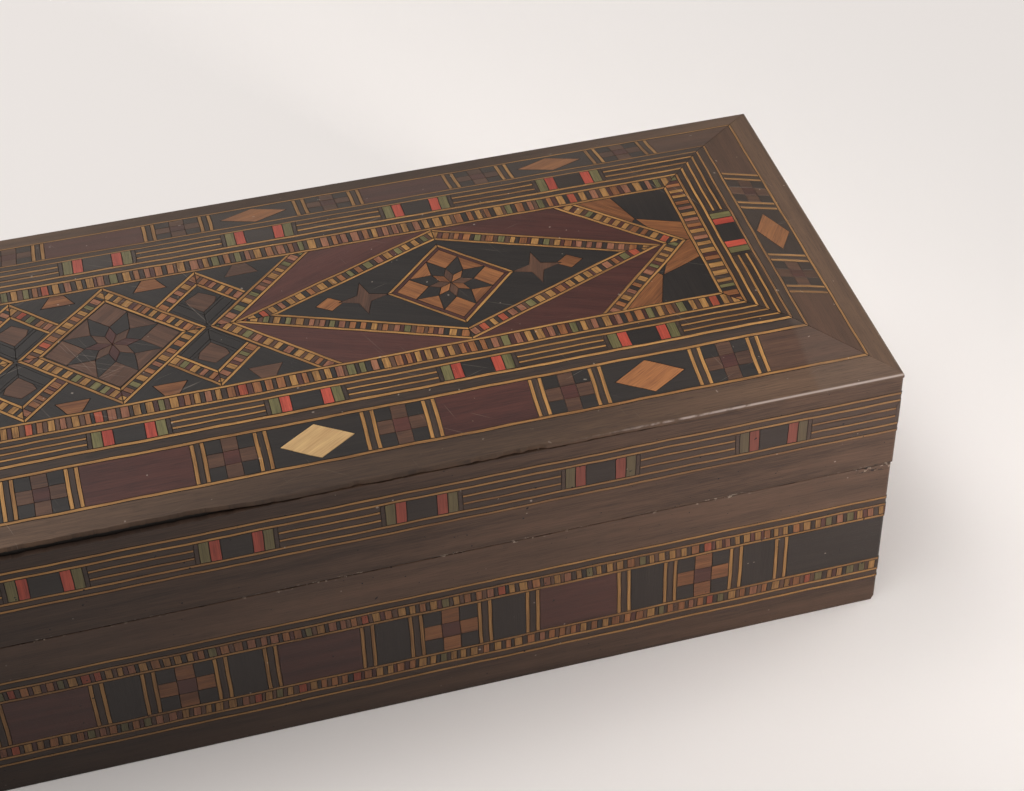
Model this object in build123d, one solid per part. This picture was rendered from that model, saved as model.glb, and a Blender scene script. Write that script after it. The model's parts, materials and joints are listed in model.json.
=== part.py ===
from build123d import *
import math
import os

# Overall sizes in millimetres: X along the box, Y to the back, Z up, the base standing on z = 0.
lid_length = 252.0
lid_width = 80.0
seam_height = 34.5
arris_height = 55.0
lid_rise = 4.0
end_overhang = 0.3

# Boards, each counted with the inlay glued on its outside.
inlay = 1.0
front_wall = 7.0
back_wall = 9.0
end_wall = 13.0
floor_thickness = 5.0
floor_rebate = 2.5
top_board_edge = 4.0

# Inlay rows on the lid's top, from the arris inwards.
edge_strip = 4.6
string_width = 0.6
border_band = 7.3
fold_dark = 1.5
lines_band = 3.8
rope_dark = 0.9
rope_width = 2.7
panel_rope = 1.8

# Border blocks: lengths are shared out over the run between the corner pieces.
block_joint = 2.35
border_corner = 21.7
border_blocks = [("red", 8.7), ("check", 7.8), ("diamond", 15.0), ("check", 7.8)]
border_blocks += [("red", 15.6), ("check", 7.8), ("diamond", 15.0), ("check", 7.8)]
border_end_blocks = [("diamond", 7.0), ("check", 7.0)]
diamond_tip_gap = 1.4
diamond_side_gap = 0.45

# Groups of coloured blocks in the line bands.
group_blocks = [("green", 1.7), ("scarlet", 1.8), ("black", 5.0), ("scarlet", 1.8), ("green", 1.7)]
top_group_corner = 40.2
side_group_corner = 20.65
lid_front_shift = -2.0

# Inlay rows on the walls; the plain strip above each band takes what is left of the wall.
base_plain = 6.2
base_panel = 10.35
base_dark = 1.1
base_rope = 2.1
lid_plain = 7.5
lid_dark = 0.95
lid_lines = 4.6
base_joint = 2.55
base_end_panel = 19.3
back_end_panel = 8.0
base_blocks = [("check", 4.85), ("black", 6.0), ("red", 14.2), ("black", 6.0), ("check", 9.7)]
base_blocks += [("black", 6.0), ("red", 14.2), ("black", 6.0), ("check", 9.7), ("black", 6.0)]
base_end_blocks = [("check", 4.85), ("black", 6.0), ("red", 15.0)]
base_front_shift = 1.3

# Central panel, drawn on a field of these half sizes and stretched to the real one.
drawn_field = (101.7, 15.6)
big_diamond_x = 58.2
big_diamond = (38.2, 15.75)
middle_diamond = (15.9, 15.75)
small_diamond_at = (15.9, 7.8)
small_diamond = (7.9, 7.95)
inner_vee = (16.2, 32.0)
outer_vee = (101.0, 85.0)
star_frame = 11.3
star_border = 0.6
pinwheel_offset = 15.3
pinwheel = (4.4, 1.5)
light_diamond_offset = 21.2
light_diamond = (2.5, 1.9)

# Secret slides in the two ends of the base, each stopped by a square peg in a track of its back.
slide_thickness = 3.0
slide_flare = 0.8
slide_gap = 0.15
slide_travel = 40.0
peg_setback = 20.0
peg_width = 2.0
peg_height = 0.9
peg_root = 3.0

# Butt hinges in a bevelled groove along the back.
hinge_inset = 3.0
hinge_bevel = 48.0
hinge_length = 24.0
hinge_spacing = 156.0
knuckle_radius = 2.0
knuckle_gap = 0.1
pin_radius = 0.9
pin_clearance = 0.05
leaf_thickness = 0.9
leaf_reach = 5.8
seam_gap = 0.05
relief = 0.2

# Lock in the right end wall.
lock_margin = 6.0
lock_sheet = 1.0
lock_depth = 7.0
lock_flange = 2.5
selvedge_lip = 1.2
bolt_width = 2.0
bolt_height = 2.6
bolt_travel = 5.0
bolt_nose = 1.6
bolt_clearance = 0.1
bolt_room = 0.8
talon_width = 2.0
talon_drop = 5.0
guide_width = 1.8
guide_wall = 1.2
guide_gap = 0.3
loop_thickness = 1.6
loop_drop = 6.8
loop_wall = 1.1
loop_clearance = 0.4
loop_swing = 1.0
slot_side = 0.2
staple_reach = 8.0
staple_margin = 1.0
keyhole_drop = 9.0
keyhole_clearance = 0.4
escutcheon_sheet = 0.8
escutcheon_border = 2.6

# Key in a niche of the left end wall.
key_length = 33.0
key_shank = 1.4
key_bow = 6.0
key_bow_bar = 2.0
key_bit_reach = 4.6
key_bit_width = 4.0
key_bit_sheet = 1.4
key_bit_setback = 1.0
key_ward = 0.9
key_ward_depth = 2.6
niche_depth = 4.4
niche_setback = 1.5
niche_margin = 1.0

half_l = lid_length / 2
half_w = lid_width / 2
base_half = half_l - end_overhang
inner_half = base_half - end_wall
inner_front = -half_w + front_wall
inner_back = half_w - back_wall
fold_inset = edge_strip + border_band + fold_dark + 3 * string_width
slope = lid_rise / fold_inset
top_height = arris_height + lid_rise
ceiling = arris_height - inlay - top_board_edge
hinge_y = half_w - hinge_inset

pieces = {}


def add(node, *shapes):
    """Files the solids of the shapes under a node's name."""
    for shape in shapes:
        pieces.setdefault(node, []).extend(shape.solids())


def block(x0, x1, y0, y1, z0, z1):
    """A box given by its limits."""
    place = Pos((x0 + x1) / 2, (y0 + y1) / 2, (z0 + z1) / 2)
    return place * Box(x1 - x0, y1 - y0, z1 - z0)


def prism(points, direction):
    """A flat outline in space swept along a vector."""
    outline = make_face(Polyline(*points, close=True).edges())
    vector = Vector(*direction)
    return extrude(outline, amount=vector.length, dir=vector.normalized())


def rod(radius, start, direction):
    """A cylinder from a point along a vector."""
    vector = Vector(*direction)
    return extrude(Plane(origin=start, z_dir=vector.normalized()) * Circle(radius), amount=vector.length)


def stack(start, rows):
    """Gives each (kind, size) row its low and high limit."""
    placed = []
    for kind, size in rows:
        placed.append((kind, start, start + size))
        start += size
    return placed


def spread(span, blocks, joint):
    """Shares a run out from its middle: blocks with a joint after each, the first one from -a to a."""
    share = (span - joint * len(blocks)) / sum(size for kind, size in blocks)
    placed = []
    at = 0.0
    for index, (kind, size) in enumerate(blocks):
        end = at + size * share
        if index == 0:
            placed.append((kind, -end, end))
        else:
            placed.append((kind, at, end))
            placed.append((kind, -end, -at))
        placed.append(("banding", end, end + joint))
        placed.append(("banding", -end - joint, -end))
        at = end + joint
    return placed


def line_row(tile, low, high, v0, v1, groups):
    """Colour groups with ruled banding between them."""
    group_width = sum(size for kind, size in group_blocks)
    edge = low
    for centre in sorted(groups):
        for kind, t0, t1 in stack(centre - group_width / 2, group_blocks):
            tile(kind, t0, t1, v0, v1)
        tile("ruled", edge, centre - group_width / 2, v0, v1)
        edge = centre + group_width / 2
    tile("ruled", edge, high, v0, v1)


node_of = {"walnut": "walnut_strips", "dark": "dark_strips", "string": "strings", "rope": "rope_strips"}
node_of.update({"black": "ebony_pieces", "red": "mahogany_pieces", "tan": "olive_pieces"})
node_of.update({"brown": "walnut_star_pieces", "scarlet": "scarlet_blocks", "green": "green_blocks"})
node_of.update({"banding": "bandings", "ruled": "ruled_strips", "check": "checker_tiles"})


def wall_tile(owner, side, half, cut=None):
    """Makes the function that lays one tile on a wall of the box."""

    def tile(kind, t0, t1, z0, z1):
        if side == "front":
            piece = block(t0, t1, -half_w, -half_w + inlay, z0, z1)
        elif side == "back":
            piece = block(t0, t1, half_w - inlay, half_w, z0, z1)
        elif side == "right":
            piece = block(half - inlay, half, t0, t1, z0, z1)
        else:
            piece = block(-half, -half + inlay, t0, t1, z0, z1)
        add(owner + "_" + node_of[kind], cut(piece) if cut else piece)

    return tile


# Heights of the rows on the base and on the lid's walls.
low_rows = [("string", string_width), ("dark", base_dark), ("string", string_width)]
low_rows += [("rope", base_rope), ("string", string_width), ("panel", base_panel)]
low_rows += [("string", string_width), ("rope", base_rope), ("string", string_width)]
low_rows += [("dark", base_dark), ("string", string_width)]
band_low = base_plain
band_high = band_low + sum(size for kind, size in low_rows)
base_rows = stack(band_low, low_rows)
high_rows = [("string", string_width), ("dark", lid_dark), ("string", string_width), ("lines", lid_lines)]
high_rows += [("string", string_width), ("dark", lid_dark), ("string", string_width)]
lid_rows = stack(seam_height + lid_plain, high_rows)
lid_band_high = lid_rows[-1][2]

# Cutters shared by the pieces: the bevelled groove at the back, the hinge relief, the slide grooves.
bevel_reach = half_w + 1 - hinge_y
bevel_rise = bevel_reach * math.tan(math.radians(hinge_bevel))
bevel_points = [(-half_l - 1, hinge_y, seam_height), (-half_l - 1, half_w + 1, seam_height + bevel_rise)]
bevel_points.append((-half_l - 1, half_w + 1, seam_height - bevel_rise))
bevel_cut = prism(bevel_points, (lid_length + 2, 0, 0))
hinge_centres = [-hinge_spacing / 2, hinge_spacing / 2]


def dovetail(sign, y0, y1, start, end, gap):
    """The slide's tapered section between two depths, swept along Y."""
    points = []
    for depth, edge in ((start, -1), (end, -1), (end, 1), (start, 1)):
        flare = slide_flare * depth / slide_thickness + gap
        z = band_low - flare if edge < 0 else band_high + flare
        points.append((sign * (base_half - depth), y0, z))
    return prism(points, (0, y1 - y0, 0))


def groove(sign):
    """The room a slide runs in, open at the back and at the outer face."""
    return dovetail(sign, inner_front, half_w + 1, -1.0, slide_thickness + slide_gap, slide_gap)


grooves = {"right": groove(1), "left": groove(-1)}

# Base: boards.
floor_limits = (inner_half + floor_rebate, inner_front - floor_rebate, inner_back + floor_rebate)
base_floor = block(-floor_limits[0], floor_limits[0], floor_limits[1], floor_limits[2], 0, floor_thickness)
base_core = base_half - inlay
base_front = block(-base_core, base_core, -half_w + inlay, inner_front, 0, seam_height) - base_floor
base_back = block(-inner_half, inner_half, inner_back, half_w - inlay, 0, seam_height)
base_back = base_back - base_floor - bevel_cut
end_limits = (inner_front, half_w, 0, seam_height)
base_right = block(inner_half, base_core, *end_limits) - base_floor - bevel_cut - grooves["right"]
base_left = block(-base_core, -inner_half, *end_limits) - base_floor - bevel_cut - grooves["left"]

# Base: inlay on the front and back, then on the ends with the two slides.
base_span = base_half - base_end_panel


def lay_base(tile, low, high, blocks, span, shift):
    """Fills the inlaid band of one wall of the base."""
    for kind, v0, v1 in base_rows:
        if kind != "panel":
            tile(kind, low, high, v0, v1)
            continue
        for name, t0, t1 in spread(span, blocks, base_joint):
            tile(name, t0 + shift, t1 + shift, v0, v1)
        tile("black", span + shift, high, v0, v1)
        if low < shift - span:
            tile("black", low, shift - span, v0, v1)


def plain_base(tile, low, high):
    """The plain strips under and over the band."""
    tile("walnut", low, high, 0, band_low)
    tile("walnut", low, high, band_high, seam_height)


tile = wall_tile("base", "front", base_half)
lay_base(tile, -base_half, base_half, base_blocks, base_span, base_front_shift)
plain_base(tile, -base_half, base_half)
tile = wall_tile("base", "back", base_half, lambda piece: piece - bevel_cut)
lay_base(tile, -inner_half, inner_half, base_blocks[:-1], inner_half - back_end_panel, 0.0)
plain_base(tile, -inner_half, inner_half)

slide_front = inner_front + slide_gap
slide_names = {"right": "keyhole_slide", "left": "key_slide"}
groove_floor = base_half - slide_thickness - slide_gap
band_middle = (band_low + band_high) / 2
peg_y = half_w - peg_setback
peg_room = peg_width / 2 + slide_gap
for side, sign in (("right", 1), ("left", -1)):
    tile = wall_tile("base", side, base_half, lambda piece: piece - grooves[side] - bevel_cut)
    plain_base(tile, -half_w + inlay, half_w)
    for kind, v0, v1 in base_rows:
        tile("black" if kind == "panel" else kind, -half_w + inlay, inner_front, v0, v1)
    section = dovetail(sign, slide_front, half_w, 0, slide_thickness, 0)
    backing = dovetail(sign, slide_front, half_w, inlay, slide_thickness, 0)
    near, far = sorted((sign * groove_floor, sign * (groove_floor + peg_height + 2 * slide_gap)))
    track = block(near, far, peg_y - slide_travel - peg_room, peg_y + peg_room,
                  band_middle - peg_room, band_middle + peg_room)
    add(slide_names[side] + "_board", backing - track)
    near, far = sorted((sign * (groove_floor - peg_root), sign * (groove_floor + peg_height + slide_gap)))
    peg = block(near, far, peg_y - peg_width / 2, peg_y + peg_width / 2,
                band_middle - peg_width / 2, band_middle + peg_width / 2)
    add("slide_stop_pegs", peg)
    tile = wall_tile(slide_names[side], side, base_half, lambda piece: piece & section)
    lay_base(tile, slide_front, half_w, base_end_blocks, -slide_front, 0.0)

# Lid: boards.
eave = arris_height - inlay
roof = block(-half_l, half_l, -half_w, half_w, 0, eave + lid_rise)
for way in (1, -1):
    wedge = [(fold_inset, eave + lid_rise), (0, eave), (0, eave + lid_rise)]
    long_side = [(-half_l, way * (half_w - s), z) for s, z in wedge]
    roof -= prism(long_side, (lid_length, 0, 0))
    short_side = [(way * (half_l - s), -half_w, z) for s, z in wedge]
    roof -= prism(short_side, (0, lid_width, 0))
lid_core = (half_l - inlay, half_w - inlay)
lid_top = block(-lid_core[0], lid_core[0], -lid_core[1], lid_core[1], ceiling, top_height) & roof
lid_front = block(-lid_core[0], lid_core[0], -lid_core[1], inner_front, seam_height, ceiling)
lid_back = block(-lid_core[0], lid_core[0], inner_back, lid_core[1], seam_height, ceiling) - bevel_cut
lid_right = block(inner_half, lid_core[0], inner_front, inner_back, seam_height, ceiling)
lid_left = block(-lid_core[0], -inner_half, inner_front, inner_back, seam_height, ceiling)

# Lid: inlay on the walls.
side_pitch = (half_l - side_group_corner) / 3.5
long_groups = [(k + 0.5) * side_pitch for k in range(-4, 4)]
end_groups = [-side_pitch / 2, side_pitch / 2]


def lay_lid_wall(side, reach, groups):
    """Fills one wall of the lid from the seam to the roof."""
    tile = wall_tile("lid", side, half_l, lambda piece: (piece & roof) - bevel_cut)
    tile("walnut", -reach, reach, seam_height, seam_height + lid_plain)
    for kind, v0, v1 in lid_rows:
        if kind == "lines":
            line_row(tile, -reach, reach, v0, v1, groups)
        else:
            tile(kind, -reach, reach, v0, v1)
    tile("walnut", -reach, reach, lid_band_high, top_height)


lay_lid_wall("front", half_l, [centre + lid_front_shift for centre in long_groups])
lay_lid_wall("back", half_l, long_groups)
lay_lid_wall("right", half_w - inlay, end_groups)
lay_lid_wall("left", half_w - inlay, end_groups)

# Lid: inlay on the sloping border and the flat rows inside it, mitred at the corners.
top_rows = [("walnut", edge_strip), ("string", string_width), ("border", border_band)]
top_rows += [("string", string_width), ("dark", fold_dark), ("string", string_width)]
top_rows += [("lines", lines_band), ("string", string_width), ("dark", rope_dark)]
top_rows += [("string", string_width), ("rope", rope_width), ("string", string_width)]
placed_rows = stack(0, top_rows)
panel_inset = placed_rows[-1][2]
panel_l = half_l - panel_inset
panel_w = half_w - panel_inset


def roof_piece(side, outline):
    """One piece of the roof's inlay from its outline in (along, inset)."""
    points = []
    for t, s in outline:
        z = eave + slope * min(s, fold_inset)
        place = {"front": (t, s - half_w), "back": (t, half_w - s)}
        place.update({"right": (half_l - s, t), "left": (s - half_l, t)})
        points.append((*place[side], z))
    return prism(points, (0, 0, inlay))


def roof_tile(side, reach):
    """Makes the function that lays one tile on a side of the roof, cut at the mitres."""

    def tile(kind, t0, t1, s0, s1):
        ends = (max(t0, s0 - reach), max(t0, s1 - reach), min(t1, reach - s1), min(t1, reach - s0))
        outline = [(ends[0], s0), (ends[1], s1), (ends[2], s1), (ends[3], s0)]
        add("lid_" + node_of[kind], roof_piece(side, outline))

    return tile


def lay_diamond(side, t0, t1, s0, s1):
    """A dark block cut round a light lozenge."""
    middle_t = (t0 + t1) / 2
    middle_s = (s0 + s1) / 2
    half_t = (t1 - t0) / 2 - diamond_tip_gap
    half_s = (s1 - s0) / 2 - diamond_side_gap
    tips = [(middle_t - half_t, middle_s), (middle_t, middle_s + half_s)]
    tips += [(middle_t + half_t, middle_s), (middle_t, middle_s - half_s)]
    light = roof_piece(side, tips)
    add("lid_" + node_of["tan"], light)
    add("lid_" + node_of["black"], roof_piece(side, [(t0, s0), (t0, s1), (t1, s1), (t1, s0)]) - light)


def lay_top(side, reach, span, blocks, groups):
    """Fills one side of the lid's top from the arris to the central panel."""
    tile = roof_tile(side, reach)
    for kind, s0, s1 in placed_rows:
        if kind == "lines":
            line_row(tile, -reach, reach, s0, s1, groups)
        elif kind == "border":
            for name, t0, t1 in spread(span, blocks, block_joint):
                if name == "diamond":
                    lay_diamond(side, t0, t1, s0, s1)
                else:
                    tile(name, t0, t1, s0, s1)
            tile("walnut", span, reach, s0, s1)
            tile("walnut", -reach, -span, s0, s1)
        else:
            tile(kind, -reach, reach, s0, s1)


top_pitch = (half_l - top_group_corner) / 3
top_groups = [k * top_pitch for k in range(-3, 4)]
for side in ("front", "back"):
    lay_top(side, half_l, half_l - border_corner, border_blocks, top_groups)
for side in ("right", "left"):
    lay_top(side, half_w, half_w - border_corner, border_end_blocks, [0.0])

# Lid: the central panel, laid from the uppermost strip down; what is laid first cuts what follows.
panel = Rectangle(2 * panel_l, 2 * panel_w)
smallest_piece = 0.05
laid = []


def lay(kind, shape):
    """Lays a flat shape in what is still free of the panel."""
    free = shape & panel if shape else None
    if not free:
        return
    for other in laid:
        box_a = free.bounding_box()
        box_b = other.bounding_box()
        apart_x = box_a.min.X > box_b.max.X or box_b.min.X > box_a.max.X
        apart_y = box_a.min.Y > box_b.max.Y or box_b.min.Y > box_a.max.Y
        if apart_x or apart_y:
            continue
        free = free - other
        if not free or not free.faces():
            return
    for face in free.faces():
        if face.area > smallest_piece:
            piece = Pos(0, 0, top_height - inlay) * face
            add("lid_" + node_of[kind], extrude(piece, amount=inlay, dir=(0, 0, 1)))
    laid.append(shape)


def flat(*points):
    """A flat outline on the panel."""
    return make_face(Polyline(*points, close=True).edges())


def lozenge(x, y, a, b):
    """A diamond by its centre and half diagonals."""
    return flat((x - a, y), (x, y + b), (x + a, y), (x, y - b))


def ring(x, y, a, b, start, end):
    """Four mitred strips round a diamond, between two distances inside its outline."""
    side = math.hypot(a, b)
    tips = []
    for depth in (start, end):
        p = a - depth * side / b
        q = b - depth * side / a
        tips.append([(x + p, y), (x, y + q), (x - p, y), (x, y - q)])
    for i in range(4):
        j = (i + 1) % 4
        yield flat(tips[0][i], tips[0][j], tips[1][j], tips[1][i])


rope_rows = [("string", string_width), ("rope", panel_rope), ("string", string_width)]


def rope_ring(x, y, a, b, keep=None):
    """A rope strip with a string on each side, round a diamond."""
    for kind, start, end in stack(0, rope_rows):
        for strip in ring(x, y, a, b, start, end):
            lay(kind, strip & keep if keep else strip)


def rope_vee(sign, apex, foot):
    """A rope strip with strings, as a vee open away from its apex, cut by the panel's sides."""
    run = foot - apex
    widen = math.copysign(math.hypot(run, panel_w) / panel_w, run)
    for kind, start, end in stack(0, rope_rows):
        a = sign * (apex + start * widen)
        b = sign * (apex + end * widen)
        for up in (1, -1):
            lay(kind, flat((a, 0), (a + sign * run, up * panel_w), (b + sign * run, up * panel_w), (b, 0)))


def star(x, y, size, light, shade):
    """A mosaic in a diamond of the given half diagonal: an eight-pointed star, corner squares, side triangles."""
    tip = size * (math.sqrt(2) - 1)
    waist = (tip / 2, tip / 2 * (math.sqrt(2) - 1))
    wing = (size / math.sqrt(2), size - size / math.sqrt(2))
    inner = tip / math.sqrt(2)
    for turn in range(4):
        angle = math.pi / 2 * turn
        c = math.cos(angle)
        s = math.sin(angle)

        def place(u, v):
            return (x + u * c - v * s, y + u * s + v * c)

        lay(light, flat(place(size, 0), place(*wing), place(tip, 0), place(wing[0], -wing[1])))
        lay(light, flat(place(*wing), place(wing[1], wing[0]), place(inner, inner)))
        lay(light, flat(place(0, 0), place(*waist), place(inner, inner), place(waist[1], waist[0])))
        lay(shade, flat(place(0, 0), place(waist[0], -waist[1]), place(tip, 0), place(*waist)))


unit_x = panel_l / drawn_field[0]
unit_y = panel_w / drawn_field[1]


def spot(x, y):
    """A point of the drawn field on the real one."""
    return (x * unit_x, y * unit_y)


def drawn(sign, up, *points):
    """A flat outline of the drawn field, mirrored by the two signs."""
    return flat(*[spot(sign * x, up * y) for x, y in points])


rope_ring(0, 0, *spot(*middle_diamond))
for sign in (1, -1):
    hub_x = sign * big_diamond_x * unit_x
    rope_vee(sign, inner_vee[0] * unit_x, inner_vee[1] * unit_x)
    rope_ring(hub_x, 0, *spot(*big_diamond))
    rope_vee(sign, outer_vee[0] * unit_x, outer_vee[1] * unit_x)
    for up in (1, -1):
        half = drawn(sign, up, (5.9, 0.6), (25.9, 0.6), (25.9, 15.6), (5.9, 15.6))
        middle = spot(sign * small_diamond_at[0], up * small_diamond_at[1])
        rope_ring(*middle, *spot(*small_diamond), half)
        lay("brown", drawn(sign, up, (13.2, 7.8), (14.6, 3.6), (17.2, 3.6), (18.6, 7.8), (15.9, 9.6)))
        for kind, x in (("tan", 7.9), ("brown", 23.7)):
            lay(kind, drawn(sign, up, (x - 2.9, 12.6), (x - 1.2, 15.6), (x + 1.2, 15.6), (x + 2.9, 12.6)))
        lay("tan", drawn(sign, up, (83, 15.6), (91.5, 15.6), (94, 8.4), (92, 6)))
        lay("tan", drawn(sign, up, (94, 8.4), (101.7, 5.2), (101.7, 0), (98, 0)))
    frame = star_frame * unit_y
    for kind, start, end in stack(0, [("string", string_width), ("red", star_border)]):
        for strip in ring(hub_x, 0, frame, frame, start, end):
            lay(kind, strip)
    star(hub_x, 0, frame - (string_width + star_border) * math.sqrt(2), "tan", "brown")
    for way in (1, -1):
        middle_x = hub_x + way * pinwheel_offset * unit_x
        tips = []
        for k in range(8):
            radius = pinwheel[k % 2] * unit_y
            angle = math.pi / 4 * k
            tips.append((middle_x + radius * math.cos(angle), radius * math.sin(angle)))
        lay("brown", flat(*tips))
        light_x = hub_x + way * light_diamond_offset * unit_x
        lay("tan", lozenge(light_x, 0, light_diamond[0] * unit_y, light_diamond[1] * unit_y))
    lay("black", lozenge(hub_x, 0, *spot(*big_diamond)))
    field = [(18.2, 0), (34.2, 15.6), (82.6, 15.6), (98.4, 0), (82.6, -15.6), (34.2, -15.6)]
    lay("red", drawn(sign, 1, *field))
star(0, 0, star_frame * unit_y, "brown", "red")
lay("black", panel)

# Hinges: leaves let into both back walls, knuckles in the groove, a pin through each.
leaf_low = (seam_height - seam_gap - leaf_thickness, seam_height - seam_gap)
leaf_high = (seam_height + seam_gap, seam_height + seam_gap + leaf_thickness)
knuckle_clear = knuckle_radius + relief
for x in hinge_centres:
    start = x - hinge_length / 2
    end = x + hinge_length / 2
    room = block(start - relief, end + relief, hinge_y - knuckle_clear, half_w + 1,
                 seam_height - knuckle_clear, seam_height + knuckle_clear)
    base_back -= room
    lid_back -= room
    for node in ("base_walnut_strips", "lid_walnut_strips"):
        pieces[node] = [s for piece in pieces[node] for s in (piece - room).solids()]
    base_leaf = block(start, end, hinge_y - leaf_reach, hinge_y, *leaf_low)
    lid_leaf = block(start, end, hinge_y - leaf_reach, hinge_y, *leaf_high)
    base_back -= base_leaf
    lid_back -= lid_leaf
    base_end = x - knuckle_gap / 2
    lid_start = x + knuckle_gap / 2
    base_leaf -= block(base_end, end, hinge_y - knuckle_clear, hinge_y, *leaf_low)
    base_leaf += rod(knuckle_radius, (start, hinge_y, seam_height), (base_end - start, 0, 0))
    lid_leaf -= block(start, lid_start, hinge_y - knuckle_clear, hinge_y, *leaf_high)
    lid_leaf += rod(knuckle_radius, (lid_start, hinge_y, seam_height), (end - lid_start, 0, 0))
    pin = rod(pin_radius, (start, hinge_y, seam_height), (hinge_length, 0, 0))
    base_leaf -= pin
    lid_leaf -= rod(pin_radius + pin_clearance, (start, hinge_y, seam_height), (hinge_length, 0, 0))
    add("hinge_base_leaves", base_leaf)
    add("hinge_lid_leaves", lid_leaf)
    add("hinge_pins", pin)

# Lock: plate and guides on the right end wall, the bolt along Y, the staple's loop under the lid.
lock_face = inner_half
lock_back = lock_face + lock_depth
loop_back = lock_back - loop_clearance
bolt_x = (loop_back - loop_wall - loop_clearance - bolt_width, loop_back - loop_wall - loop_clearance)
bolt_low = seam_height - loop_drop + loop_wall + loop_clearance
bolt_high = bolt_low + bolt_height
bolt_tail = inner_front + lock_margin
rear_guide = bolt_tail + bolt_travel + guide_gap
talon = rear_guide + guide_width + guide_gap
front_guide = talon + talon_width + bolt_travel + guide_gap
bolt_tip = front_guide + guide_width + bolt_nose
lock_y = bolt_tip + bolt_room + loop_thickness / 2
key_sweep = key_shank + key_bit_reach
keyhole_y = talon + (talon_width + bolt_travel) / 2
keyhole_z = bolt_low - keyhole_drop

cavity_y = (bolt_tail - bolt_room, bolt_tip + bolt_travel + bolt_room)
cavity_low = keyhole_z - key_sweep - bolt_room
plate_y = (cavity_y[0] - lock_flange, cavity_y[1] + lock_flange)
selvedge = (seam_height - seam_gap - lock_sheet, seam_height - seam_gap)
lock_plate = block(lock_face, lock_face + lock_sheet, *plate_y, cavity_low - lock_flange, selvedge[1])
lock_plate += block(lock_face, lock_back + selvedge_lip, *plate_y, *selvedge)
cavity = block(lock_face + lock_sheet, lock_back, *cavity_y, cavity_low, selvedge[0])
base_right = base_right - lock_plate - cavity
base_right -= block(lock_face, lock_back + selvedge_lip, *plate_y, selvedge[1], seam_height)

window_x = (bolt_x[0] - loop_clearance, bolt_x[1] + loop_clearance)
loop_x = (window_x[0] - loop_wall, loop_back)
loop_y = (lock_y - loop_thickness / 2, lock_y + loop_thickness / 2)
lock_plate -= block(loop_x[0] - slot_side, loop_x[1] + slot_side, loop_y[0] - loop_swing,
                    loop_y[1] + loop_swing, *selvedge)
guide_room = block(bolt_x[0] - bolt_clearance, bolt_x[1] + bolt_clearance, *cavity_y,
                   bolt_low - bolt_clearance, bolt_high + bolt_clearance)
for start in (rear_guide, front_guide):
    guide = block(lock_face + lock_sheet, bolt_x[1] + guide_wall, start, start + guide_width,
                  bolt_low - guide_wall, selvedge[0])
    lock_plate += guide - guide_room
add("lock_plate", lock_plate)

lock_bolt = block(*bolt_x, bolt_tail, bolt_tip, bolt_low, bolt_high)
lock_bolt += block(*bolt_x, talon, talon + talon_width, bolt_low - talon_drop, bolt_low)
add("lock_bolt", lock_bolt)

hole_radius = key_shank + keyhole_clearance
hole_half = key_bit_sheet / 2 + keyhole_clearance
hole_low = keyhole_z - key_sweep - keyhole_clearance
hole = rod(hole_radius, (lock_back, keyhole_y, keyhole_z), (groove_floor - lock_back, 0, 0))
hole += block(lock_back, groove_floor, keyhole_y - hole_half, keyhole_y + hole_half, hole_low, keyhole_z)
escutcheon_half = hole_radius + escutcheon_border
escutcheon = block(groove_floor - escutcheon_sheet, groove_floor, keyhole_y - escutcheon_half,
                   keyhole_y + escutcheon_half, hole_low - escutcheon_border, keyhole_z + escutcheon_half)
base_right = base_right - hole - escutcheon
add("keyhole_plate", escutcheon - hole)

staple_z = (seam_height + seam_gap, seam_height + seam_gap + lock_sheet)
staple_x = (lock_face + staple_margin, loop_back + staple_margin)
staple_y = (lock_y - staple_reach, lock_y + staple_reach)
staple = block(*staple_x, *staple_y, *staple_z)
loop = block(*loop_x, *loop_y, seam_height - loop_drop, staple_z[1])
loop -= block(*window_x, *loop_y, bolt_low - loop_clearance, bolt_high + loop_clearance)
lid_right = lid_right - block(*staple_x, *staple_y, seam_height, staple_z[1])
add("lock_staple", staple + loop)

# Key: lying in a niche of the left end wall behind its slide.
niche_floor = niche_depth - groove_floor
key_x = niche_floor - key_shank
key_z = band_middle
key_start = inner_front + niche_setback + niche_margin
bow_y = key_start + key_bow
key_end = key_start + key_length
bow_x = key_x - key_bow_bar / 2
bow = rod(key_bow, (bow_x, bow_y, key_z), (key_bow_bar, 0, 0))
bow -= rod(key_bow - key_bow_bar, (bow_x, bow_y, key_z), (key_bow_bar, 0, 0))
shank_y = bow_y + key_bow - key_bow_bar / 2
shank = rod(key_shank, (key_x, shank_y, key_z), (0, key_end - shank_y, 0))
bit_x = (key_x - key_bit_sheet / 2, key_x + key_bit_sheet / 2)
bit_y = (key_end - key_bit_setback - key_bit_width, key_end - key_bit_setback)
bit = block(*bit_x, *bit_y, key_z - key_sweep, key_z)
ward_y = (bit_y[0] + bit_y[1]) / 2
bit -= block(*bit_x, ward_y - key_ward / 2, ward_y + key_ward / 2, key_z - key_sweep,
             key_z - key_sweep + key_ward_depth)
add("key", bow + shank + bit)
key_low = key_z - max(key_bow, key_sweep)
base_left -= block(-base_half, niche_floor, key_start - niche_margin, key_end + niche_margin,
                   key_low, key_z + key_bow + niche_margin)
for peg in pieces["slide_stop_pegs"]:
    base_right -= peg
    base_left -= peg

add("base_floor", base_floor)
add("base_front_wall", base_front)
add("base_back_wall", base_back)
add("base_right_end", base_right)
add("base_left_end", base_left)
add("lid_top_board", lid_top)
add("lid_front_wall", lid_front)
add("lid_back_wall", lid_back)
add("lid_right_end", lid_right)
add("lid_left_end", lid_left)

os.makedirs("parts", exist_ok=True)
for node, solids in pieces.items():
    shape = solids[0] if len(solids) == 1 else Compound(label=node, children=solids)
    export_step(shape, "parts/" + node + ".step")
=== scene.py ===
import json
import math
import random

import bmesh
import bpy
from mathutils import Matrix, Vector
from mathutils.geometry import tessellate_polygon


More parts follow.
